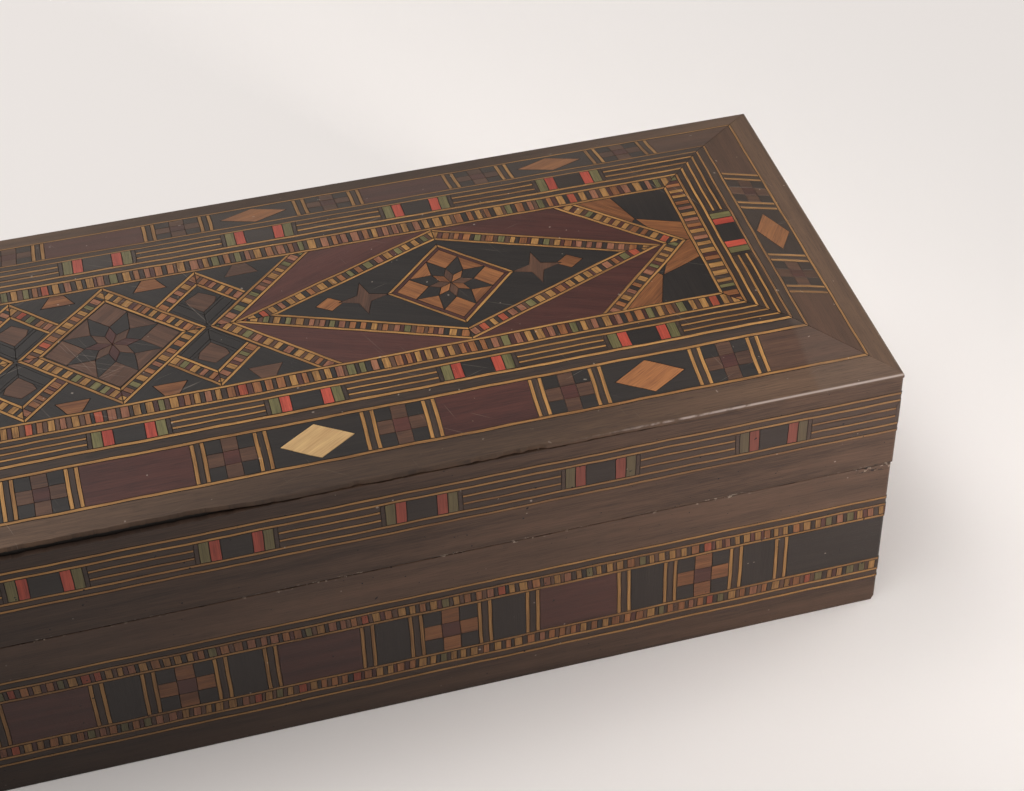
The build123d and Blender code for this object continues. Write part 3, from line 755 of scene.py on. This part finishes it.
class Inlay:
    """The pieces of one node, gathered into one mesh."""

    def __init__(self, node):
        self.node = node
        self.draw = random.Random(node)
        self.points = []
        self.faces = []
        self.looks = []
        self.grain = []
        self.tone = []
        self.names = []

    def look(self, name):
        """The number of a finish in this mesh."""
        if name not in self.names:
            self.names.append(name)
        return self.names.index(name)

    def vertex(self, place, grain, tone):
        """Adds a point and gives its number."""
        self.points.append(place)
        self.grain.append(grain)
        self.tone.append(tone)
        return len(self.points) - 1

    def face(self, look, *ids):
        self.faces.append(ids)
        self.looks.append(look)

    def lay(self, side, loops, name, axis=None, tone=None):
        """Lays one piece of wood: a closed block with eased edges, inside its drawn outline."""
        loops = [loop for loop in map(tidied, loops) if len(loop) > 2]
        if not loops:
            return
        outer = max(loops, key=lambda loop: abs(area(loop)))
        if abs(area(outer)) < smallest_area or width_of(outer) < smallest_width:
            return
        axis = axis or long_axis(outer)
        tone = self.draw.uniform(-1, 1) if tone is None else tone
        shift = (self.draw.uniform(0, grain_shift), self.draw.uniform(0, grain_shift))
        recess = self.draw.uniform(0, deepest_recess)
        largest = largest_round * width_of(outer)
        rounds = {edge: min(radius, largest) for edge, radius in side.rounding().items()}
        drawn = []
        for loop in loops:
            right_way = (area(loop) > 0) == (loop is outer)
            drawn.append(resampled(side, loop if right_way else loop[::-1], rounds))
        rings, triangles = block(drawn, rounds, worn_round if name in worn_edges else piece_round)
        levels = []
        for ring, share in zip(rings, ring_depths):
            levels.append([])
            for loop in ring:
                ids = []
                for u, v, inner in loop:
                    depth = recess + rounded_off(side, rounds, u, v) + (piece_round * share if inner else 0)
                    depth = inlay_depth if ring is rings[-1] else min(depth, inlay_depth - thinnest_edge)
                    grain = (reach_along((u, v), axis) + shift[0], v * axis[0] - u * axis[1] + shift[1])
                    ids.append(self.vertex(side.place(u, v, depth), grain, tone))
                levels[-1].append(ids)
        self.close(levels, triangles, name)

    def close(self, levels, triangles, name):
        """The faces of a block: its edges from ring to ring, its top and its underside."""
        look = self.look(name)
        joint = self.look("joint") if name in worn_edges else look
        for upper, lower in zip(levels, levels[1:]):
            for high, low in zip(upper, lower):
                for (a, d), (b, c) in zip(pairs(high), pairs(low)):
                    self.face(joint, a, b, c, d)
        tops = [i for ids in levels[0] for i in ids]
        bottoms = [i for ids in levels[-1] for i in ids]
        for a, b, c in triangles:
            self.face(look, tops[a], tops[b], tops[c])
            self.face(look, bottoms[c], bottoms[b], bottoms[a])

    def build(self, body, slot):
        """The object that takes the node's place."""
        mesh = bpy.data.meshes.new(self.node + "_laid")
        mesh.from_pydata(self.points, [], self.faces)
        mesh.polygons.foreach_set("material_index", self.looks)
        for name in self.names:
            mesh.materials.append(finishes[name].material)
        layer = mesh.uv_layers.new(name="grain")
        for corner in mesh.loops:
            layer.data[corner.index].uv = self.grain[corner.vertex_index]
        tone = mesh.attributes.new("tone", "FLOAT", "POINT")
        tone.data.foreach_set("value", self.tone)
        work = bmesh.new()
        work.from_mesh(mesh)
        bmesh.ops.recalc_face_normals(work, faces=work.faces)
        work.to_mesh(mesh)
        work.free()
        piece = put(self.node + "_laid", mesh)
        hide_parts(self.node)
        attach(piece, body)


def block(drawn, rounds, edge_size):
    """The rings of a block, and the triangles that fill its top: with less easing where they would fold."""
    for ease in easings:
        rings = []
        for share in ring_insets:
            rings.append([shrunk(points, edges, rounds, edge_size, share, ease) for points, edges in drawn])
        flat = [[Vector((u, v, 0)) for u, v, inner in loop] for loop in rings[0]]
        triangles = tessellate_polygon(flat)
        if covered(flat, triangles):
            break
    return rings, triangles


def covered(flat, triangles):
    """Whether the triangles fill the outlines without folds."""
    points = [point for loop in flat for point in loop]
    whole = sum(area(loop) for loop in flat)
    filled = sum(abs(area([points[i] for i in corners])) for corners in triangles)
    return whole > 0 and abs(whole - filled) < fill_error * whole


def rounded_off(side, rounds, u, v):
    """How far the rounded outer edges lower the surface at a place."""
    gaps = side.gaps(u, v)
    return max([0.0] + [fallen(radius, radius - max(0.0, gaps[edge])) for edge, radius in rounds.items()])


def resampled(side, loop, rounds):
    """An outline with points along its sides, wandering and chipped, and the outer edge that each lies on."""
    points = []
    edges = []
    borders = [side.border(a, b) for a, b in pairs(loop)]
    for i, (a, b) in enumerate(pairs(loop)):
        length = math.dist(a, b)
        step = chip_step if borders[i] and length > chipped_length else outline_step
        parts = max(1, math.ceil(length / step))
        shares = [k / parts for k in range(parts)]
        for near, far in ((borders[i - 1], False), (borders[(i + 1) % len(loop)], True)):
            if near in rounds and not borders[i] and length > room_for_steps * rounds[near]:
                for part in round_steps:
                    share = rounds[near] * part / length
                    shares.append(1 - share if far else share)
        for share in sorted(set(shares)):
            u = a[0] + (b[0] - a[0]) * share
            v = a[1] + (b[1] - a[1]) * share
            moved = list(side.wander(u, v))
            for edge in [borders[i]] if share > 0 else [borders[i], borders[i - 1]]:
                if edge:
                    inwards = chipped(side, edge, u, v)
                    moved[0 if edge[0] == "u" else 1] += inwards if edge.endswith("low") else -inwards
            points.append(tuple(moved))
            edges.append(borders[i])
    return points, edges


def shrunk(points, edges, rounds, edge_size, share, ease):
    """The outline with each side moved inwards: by the glue gap and a share of its rounding, all eased."""
    moves = []
    for edge, (a, b) in zip(edges, pairs(points)):
        length = max(math.dist(a, b), tiny)
        inward = ((a[1] - b[1]) / length, (b[0] - a[0]) / length)
        size = rounds.get(edge, edge_size) * share
        moves.append((inward, ease * (size + (0.0 if edge else glue_gap))))
    ring = []
    for i, (u, v) in enumerate(points):
        (n1, d1), (n2, d2) = moves[i - 1], moves[i]
        turn = n1[0] * n2[1] - n1[1] * n2[0]
        if abs(turn) > shallow_turn:
            du = (d1 * n2[1] - d2 * n1[1]) / turn
            dv = (d2 * n1[0] - d1 * n2[0]) / turn
        else:
            size = (d1 + d2) / 2
            du = (n1[0] + n2[0]) / 2 * size
            dv = (n1[1] + n2[1]) / 2 * size
        scale = min(1.0, longest_mitre * max(d1, d2) / max(math.hypot(du, dv), tiny))
        ring.append((u + du * scale, v + dv * scale, not (edges[i] or edges[i - 1])))
    return ring


# Strips and tiles that are made up of small pieces: lengths in millimetres and how often each wood comes
rope_tilt = 0.05
rope_end = 0.05
shortest_tessera = 0.35
light_tesserae = ((0.95, 1.5), {"gold": 42, "olive": 22, "rose": 17, "green": 12, "rust": 7})
dark_tesserae = ((0.5, 0.95), {"ebony": 12, "dark": 36, "mahogany": 24, "brown": 28})
checker_tones = (-1.6, -0.4)


def rope(inlay, side, loop):
    """A rope strip: light and dark tesserae in turn, a few of them dyed."""
    axis = long_axis(loop)
    tilt = inlay.draw.uniform(-rope_tilt, rope_tilt)
    slant = (axis[0] - axis[1] * tilt, axis[1] + axis[0] * tilt)
    at, high = span(loop, slant)
    light = inlay.draw.random() < 0.5
    while at < high - rope_end:
        lengths, woods = light_tesserae if light else dark_tesserae
        size = inlay.draw.uniform(*lengths)
        end = high if high - at - size < shortest_tessera else at + size
        name = inlay.draw.choices(tuple(woods), tuple(woods.values()))[0]
        inlay.lay(side, [slab(loop, slant, at, end)], name, square_to(axis))
        light = not light
        at = end


def striped(inlay, side, loop, stripes):
    """A strip made up of lines along its length: (finish, share of the width) in turn."""
    axis = long_axis(loop)
    low, high = span(loop, square_to(axis))
    total = sum(width for name, width in stripes)
    at = low
    for name, width in stripes:
        end = at + (high - low) * width / total
        inlay.lay(side, [slab(loop, square_to(axis), at, end)], name, axis)
        at = end


def banding(inlay, side, loop):
    """A dark line between two light ones."""
    low, high = span(loop, square_to(long_axis(loop)))
    string = ("string", banding_string)
    striped(inlay, side, loop, [string, ("dark", high - low - 2 * banding_string), string])


def ruled(inlay, side, loop):
    """Dark banding with two light lines, which stop short of its square ends but run on at a mitre."""
    axis = long_axis(loop)
    low, high = span(loop, square_to(axis))
    start, end = span(loop, axis)
    places = [reach_along(point, axis) for point in loop]
    square_start = sum(abs(place - start) < near_zero for place in places) > 1
    square_end = sum(abs(place - end) < near_zero for place in places) > 1
    start += ruled_end if square_start else 0
    end -= ruled_end if square_end else 0
    dark = ("dark", (high - low - 2 * ruled_line) / 3)
    line = ("string", ruled_line)
    striped(inlay, side, slab(loop, axis, start, end), [dark, line, dark, line, dark])
    inlay.lay(side, [slab(loop, axis, start - ruled_end, start)], "dark", axis)
    inlay.lay(side, [slab(loop, axis, end, end + ruled_end)], "dark", axis)


def checker(inlay, side, loop):
    """Nine squares: dark corners, lighter sides and a red middle."""
    sides_wood = "brown" if side.group == "lid" else "olive"
    u0, u1 = span(loop, along_u)
    v0, v1 = span(loop, along_v)
    for i in range(3):
        column = slab(loop, along_u, u0 + (u1 - u0) * i / 3, u0 + (u1 - u0) * (i + 1) / 3)
        for j in range(3):
            square = slab(column, along_v, v0 + (v1 - v0) * j / 3, v0 + (v1 - v0) * (j + 1) / 3)
            name = "mahogany" if i == j == 1 else (sides_wood if (i + j) % 2 else "ebony")
            tone = inlay.draw.uniform(*checker_tones) if name == "olive" else None
            inlay.lay(side, [square], name, along_u, tone)


plain_woods = {
    "walnut_strips": "walnut",
    "dark_strips": "dark",
    "strings": "string",
    "ebony_pieces": "ebony",
    "mahogany_pieces": "mahogany",
    "olive_pieces": "olive",
    "walnut_star_pieces": "brown",
    "scarlet_blocks": "scarlet",
    "green_blocks": "green",
}
made_up = {"rope_strips": rope, "bandings": banding, "ruled_strips": ruled, "checker_tiles": checker}
node_slots = {row["node"]: row["material_slot"] for row in frame["record"]["subparts"]}
node_body = {node: body for body, nodes in frame["record"]["behaviour"]["bodies"].items() for node in nodes}


def kind_of(node):
    """Which kind of inlay a node is, or None for a board or a fitting."""
    for kind in (*plain_woods, *made_up):
        if node.endswith("_" + kind):
            return kind
    return None


def gather():
    """Every visible flat face of the inlay nodes, on its side of the box."""
    sides = {}
    found = []
    for node in sorted(frame["nodes"]):
        if not kind_of(node):
            continue
        group = node_body[node]
        for mesh, faces in mesh_islands(node):
            name = outer_side(group, mesh, faces)
            if not name:
                continue
            side = sides.setdefault((group, name), Side(name, group))
            loops = [[side.flat(point) for point in points] for points in outlines(mesh, faces)]
            for loop in loops:
                for place in loop:
                    side.grow(*place)
            found.append((node, side, loops))
    return found


# Places on the roof, and the tones of olive wood there
pale_lozenge = (28.5, -31.2)
lozenge_reach = 3
far_corner = 78.0
near_middle = 26.0
pale_tone = 0.4
border_tone = 1.2
dull_tone = -1.3


def olive_look(loop):
    """Finish and tone of an olive wood piece: lighter in the border, one cream, wedges and middle dull."""
    u, v = middle_of(loop)
    if math.dist((u, v), pale_lozenge) < lozenge_reach:
        return "cream", pale_tone
    if abs(v) > slope_start[1] or abs(u) > slope_start[0]:
        return "olive", border_tone
    return "olive", dull_tone if abs(u) > far_corner or abs(u) < near_middle else None


small_diamond = (15.9, 7.8)
small_diamond_half = (7.9, 7.95)
small_diamond_core = 0.2
small_diamond_band = 3.0
panel_edge = 15.6


def small_diamond_strip(side, loop):
    """A strip round one of the four small diamonds: its outline, and whether it is on an inner side.

    The two outer bands run on to the neighbouring bands, which also close the diamond's inner sides.
    """
    if side.name != "roof":
        return None
    u, v = middle_of(loop)
    middle = (math.copysign(small_diamond[0], u), math.copysign(small_diamond[1], v))
    outwards = abs(u - middle[0]) / small_diamond_half[0]
    upwards = (abs(v) - small_diamond[1]) / small_diamond_half[1]
    if outwards + abs(upwards) > 1 or outwards < small_diamond_core:
        return None
    rise = math.copysign(small_diamond_half[1], v)
    tip = (middle[0] + math.copysign(small_diamond_half[0], u - middle[0]), middle[1])
    top_tip = (middle[0], middle[1] + rise)
    low_tip = (middle[0], middle[1] - rise)
    run = (top_tip[0] - tip[0], top_tip[1] - tip[1])
    length = math.hypot(*run)
    out = (run[1] / length, -run[0] / length)
    if out[1] * v < 0:
        out = (-out[0], -out[1])
    if upwards < 0:
        edge = reach_along(tip, out)
        return slab(loop, out, edge - 2 * length, edge - small_diamond_band), True
    half = [tip, top_tip, low_tip]
    if area(half) < 0:
        half.reverse()
    strip = slab(half, out, *span(loop, out))
    return slab(strip, along_v, -panel_edge, panel_edge), False


def corner_panel(side, loop):
    """Whether a walnut piece is a corner panel of the roof's border, clear of the outer edge."""
    return side.name == "roof" and not any(side.border(a, b) for a, b in pairs(loop))


def lay_piece(inlay, kind, side, loops):
    """Lays one drawn piece, as one block or as the small pieces that it is made up of."""
    found = small_diamond_strip(side, loops[0]) if kind in ("rope_strips", "strings") else None
    if found:
        loops = [found[0]]
    if found and found[1]:
        inlay.lay(side, loops, "ebony")
    elif kind in made_up:
        made_up[kind](inlay, side, loops[0])
    elif kind == "olive_pieces":
        name, tone = olive_look(loops[0])
        inlay.lay(side, loops, name, tone=tone)
    elif kind == "walnut_strips" and corner_panel(side, loops[0]):
        inlay.lay(side, loops, "corner")
    else:
        inlay.lay(side, loops, plain_woods[kind])


def lay_inlays():
    """Lays every piece of the inlay nodes and puts the laid nodes in place."""
    inlays = {}
    for node, side, loops in gather():
        inlay = inlays.setdefault(node, Inlay(node))
        lay_piece(inlay, kind_of(node), side, loops)
    for node, inlay in inlays.items():
        inlay.build(node_body[node], node_slots[node])


lay_inlays()

# Boards, fittings and key
board_edge = 0.15
metal_edge = 0.1
sharp_angle = math.radians(40)
flat_angle = 0.02
hinge_length = 24.0
leaf_width = 3.6
leaf_cover = 0.3
leaf_walls = {"base_back_wall": "hinge_base_leaves", "lid_back_wall": "hinge_lid_leaves"}


def leaf_spans(leaves):
    """Where each of a node's two hinge leaves starts and ends along the box."""
    low, high = map(mm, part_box(leaves))
    return [(low.x, low.x + hinge_length), (high.x - hinge_length, high.x)]


def box_cutter(low, high):
    """A box to cut away, from corner to corner in millimetres."""
    work = bmesh.new()
    bmesh.ops.create_cube(work, size=1.0)
    for corner in work.verts:
        corner.co = [(low[i] if corner.co[i] < 0 else high[i]) / metre for i in range(3)]
    mesh = bpy.data.meshes.new("cutter")
    work.to_mesh(mesh)
    work.free()
    return put("cutter", mesh)


def opened(work, leaves):
    """Cuts a back wall open over its hinge leaves, which lie just under its rim."""
    mesh = bpy.data.meshes.new("wall")
    work.to_mesh(mesh)
    wall = put("wall", mesh)
    front = mm(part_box(leaves)[0]).y
    cutters = []
    for start, end in leaf_spans(leaves):
        low = (start, front, seam - leaf_cover)
        high = (end, front + leaf_width, seam + leaf_cover)
        cutters.append(box_cutter(low, high))
        cut_out = wall.modifiers.new("leaf", "BOOLEAN")
        cut_out.operation = "DIFFERENCE"
        cut_out.solver = "EXACT"
        cut_out.object = cutters[-1]
    cut_wall = wall.evaluated_get(bpy.context.evaluated_depsgraph_get())
    work.clear()
    work.from_mesh(cut_wall.to_mesh())
    cut_wall.to_mesh_clear()
    for used in (wall, *cutters):
        bpy.data.objects.remove(used)


def eased(node):
    """The solid of a board or a fitting with its sharp edges eased, in place of the node."""
    slot = node_slots[node]
    low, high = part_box(node)
    look = slot
    size = metal_edge
    if slot == "carcass_wood":
        look = "board_x" if high.x - low.x > high.y - low.y else "board_y"
        size = board_edge
    work = bmesh.new()
    work.from_mesh(frame["nodes"][node].data)
    bmesh.ops.remove_doubles(work, verts=work.verts, dist=tiny)
    if node in leaf_walls:
        opened(work, leaf_walls[node])
    bmesh.ops.dissolve_limit(work, angle_limit=flat_angle, verts=work.verts, edges=work.edges)
    sharp = [edge for edge in work.edges if edge.calc_face_angle() > sharp_angle]
    bmesh.ops.bevel(work, geom=sharp, offset=size / metre, segments=2, profile=0.5, affect="EDGES",
                    clamp_overlap=True)
    for face in work.faces:
        face.smooth = True
    mesh = bpy.data.meshes.new(node + "_eased")
    work.to_mesh(mesh)
    work.free()
    mesh.set_sharp_from_angle(angle=sharp_angle)
    mesh.materials.clear()
    mesh.materials.append(finishes[look].material)
    piece = put(node + "_eased", mesh)
    piece.modifiers.new("even_shading", "WEIGHTED_NORMAL").keep_sharp = True
    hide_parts(node)
    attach(piece, node_body[node])


for node in sorted(frame["nodes"]):
    if not kind_of(node):
        eased(node)

# Screw heads on the hinges, the lock and its staple, and pins round the keyhole
# The slots are dark bars on the heads: painted shade in place of the grooves
finishes["slot"] = Finish("painted_slot_shade")
finishes["slot"].set(Base_Color=tint(20, 16, 13), Roughness=0.7)
head_corners = 20
head_root = 0.3
screw_rise = 0.02
slot_rise = 0.004
slot_length = 0.94
slot_width = 0.13
seam_gap = 0.05
hinge_screw = 1.15
hinge_screw_setback = 2.0
hinge_screw_shares = (0.2, 0.5, 0.8)
lock_screw = 1.0
lock_screw_setback = 2.0
lock_screw_offset = 0.6
keyhole_pin = 0.42
keyhole_pin_setback = 0.9


class Screws:
    """Flat screw heads of one body, gathered into one mesh."""

    def __init__(self, body):
        self.body = body
        self.points = []
        self.faces = []
        self.looks = []
        self.draw = random.Random(body)

    def ring(self, centre, across, up, shape, height):
        """Adds the points of a flat shape and gives their numbers."""
        first = len(self.points)
        for a, b in shape:
            self.points.append((centre + across[0] * a + across[1] * b + up * height) / metre)
        return list(range(first, len(self.points)))

    def plate(self, centre, across, up, shape, low, high, look):
        """Adds a flat shape with a thickness."""
        bottom = self.ring(centre, across, up, shape, low)
        upper = self.ring(centre, across, up, shape, high)
        self.faces += [upper, bottom[::-1]]
        self.faces += [(a, b, c, d) for (a, b), (d, c) in zip(pairs(bottom), pairs(upper))]
        self.looks += [look] * (len(shape) + 2)

    def add(self, centre, up, radius, slotted=True):
        """A head lying on a face: its middle and the direction it faces."""
        up = Vector(up)
        side = up.orthogonal().normalized()
        across = (side, up.cross(side))
        turn = self.draw.uniform(0, math.pi)
        angles = [math.tau * k / head_corners for k in range(head_corners)]
        head = [(radius * math.cos(angle), radius * math.sin(angle)) for angle in angles]
        self.plate(Vector(centre), across, up, head, -head_root, screw_rise, 0)
        if slotted:
            c = math.cos(turn)
            s = math.sin(turn)
            corners = ((-1, -1), (1, -1), (1, 1), (-1, 1))
            bar = [(radius * slot_length * a, radius * slot_width * b) for a, b in corners]
            bar = [(a * c - b * s, a * s + b * c) for a, b in bar]
            self.plate(Vector(centre), across, up, bar, 0, screw_rise + slot_rise, 1)

    def build(self):
        """The object with all heads."""
        mesh = bpy.data.meshes.new(self.body + "_screws")
        mesh.from_pydata(self.points, [], self.faces)
        mesh.materials.append(finishes["steel"].material)
        mesh.materials.append(finishes["slot"].material)
        mesh.polygons.foreach_set("material_index", self.looks)
        heads = put(self.body + "_screws", mesh)
        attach(heads, self.body)


def hinge_screws(screws, node, up):
    """Three screws in each of a node's two leaves."""
    y = mm(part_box(node)[0]).y + hinge_screw_setback
    for start, end in leaf_spans(node):
        for share in hinge_screw_shares:
            place = (start + (end - start) * share, y, seam - up * seam_gap)
            screws.add(place, (0, 0, up), hinge_screw)


def lay_screws():
    """The screws and pins of the base and of the lid."""
    base = Screws("base")
    lid = Screws("lid")
    hinge_screws(base, "hinge_base_leaves", 1)
    hinge_screws(lid, "hinge_lid_leaves", -1)
    low, high = map(mm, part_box("lock_plate"))
    for y in (low.y + lock_screw_setback, high.y - lock_screw_setback):
        base.add(((low.x + high.x) / 2 + lock_screw_offset, y, high.z), (0, 0, 1), lock_screw)
    low, high = map(mm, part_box("lock_staple"))
    for y in (low.y + lock_screw_setback, high.y - lock_screw_setback):
        lid.add(((low.x + high.x) / 2, y, seam + seam_gap), (0, 0, -1), lock_screw)
    low, high = map(mm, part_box("keyhole_plate"))
    for y in (low.y + keyhole_pin_setback, high.y - keyhole_pin_setback):
        for z in (low.z + keyhole_pin_setback, high.z - keyhole_pin_setback):
            base.add((high.x, y, z), (1, 0, 0), keyhole_pin, False)
    base.build()
    lid.build()


lay_screws()

# Stage, in metres
floor_colour = tint(247, 243, 240)
cloud_colour = tint(242, 237, 234)
floor_size = 9.0
room_colour = (0.97, 0.94, 0.93, 1)
room_strength = 0.15
box_middle = (0, 0, 0.03)
camera_place = (0.00208, -0.2772, 0.28464)
camera_turn = (48.2819, 0.5946, -15.7155)
camera_lens = 73.528
camera_shift = (-0.04679, -0.00235)


def stage_floor():
    """Pale paper under the box."""
    finish = Finish("pale_paper")
    cloud = finish.noise(finish.place(), 0.004)
    finish.set(Base_Color=finish.mix(floor_colour, cloud_colour, cloud), Roughness=0.75)
    mesh = bpy.data.meshes.new("floor")
    h = floor_size / 2
    mesh.from_pydata([(-h, -h, 0), (h, -h, 0), (h, h, 0), (-h, h, 0)], [], [(0, 1, 2, 3)])
    mesh.materials.append(finish.material)
    floor = put("floor", mesh)


def soft_light(name, place, aim, size, power, colour, spread=180):
    """A soft rectangular light that faces a point."""
    data = bpy.data.lights.new(name, "AREA")
    data.shape = "RECTANGLE"
    data.size, data.size_y = size
    data.energy = power
    data.color = colour
    data.spread = math.radians(spread)
    light = put(name, data)
    light.location = place
    light.rotation_euler = (Vector(aim) - Vector(place)).to_track_quat("-Z", "Y").to_euler()


def studio():
    """Floor, lights and the pale room around them."""
    stage_floor()
    soft_light("overhead_light", (-0.52, 0.32, 1.3), box_middle,
               size=(0.7, 0.7), power=6.2, colour=(1.0, 0.985, 0.97))
    soft_light("right_light", (0.95, 0.05, 1.15), (0.1, 0, 0.03),
               size=(0.8, 1.2), power=7.0, colour=(1.0, 0.98, 0.965))
    soft_light("window_light", (-0.2, 1.2, 0.9), box_middle,
               size=(0.9, 0.6), power=3.0, colour=(1.0, 0.99, 0.98))
    soft_light("front_light", (0.34, -0.34, 0.11), (0.14, -0.04, 0.045),
               size=(0.1, 0.08), power=0.055, colour=(1.0, 0.95, 0.91), spread=30)
    soft_light("fore_light", (-0.4, -0.38, 1.4), (-0.1, -0.2, 0),
               size=(0.7, 0.4), power=5.5, colour=(1.0, 0.985, 0.975))
    world = bpy.data.worlds.new("room")
    world.use_nodes = True
    background = world.node_tree.nodes["Background"]
    background.inputs["Color"].default_value = room_colour
    background.inputs["Strength"].default_value = room_strength
    bpy.context.scene.world = world


def photo_camera():
    """A camera at the photograph's viewing angle."""
    data = bpy.data.cameras.new("camera")
    data.lens = camera_lens
    data.sensor_width = 36
    data.shift_x, data.shift_y = camera_shift
    camera = put("camera", data)
    camera.location = camera_place
    camera.rotation_euler = [math.radians(angle) for angle in camera_turn]
    bpy.context.scene.camera = camera


studio()
photo_camera()
bpy.context.scene.view_settings.view_transform = "Standard"
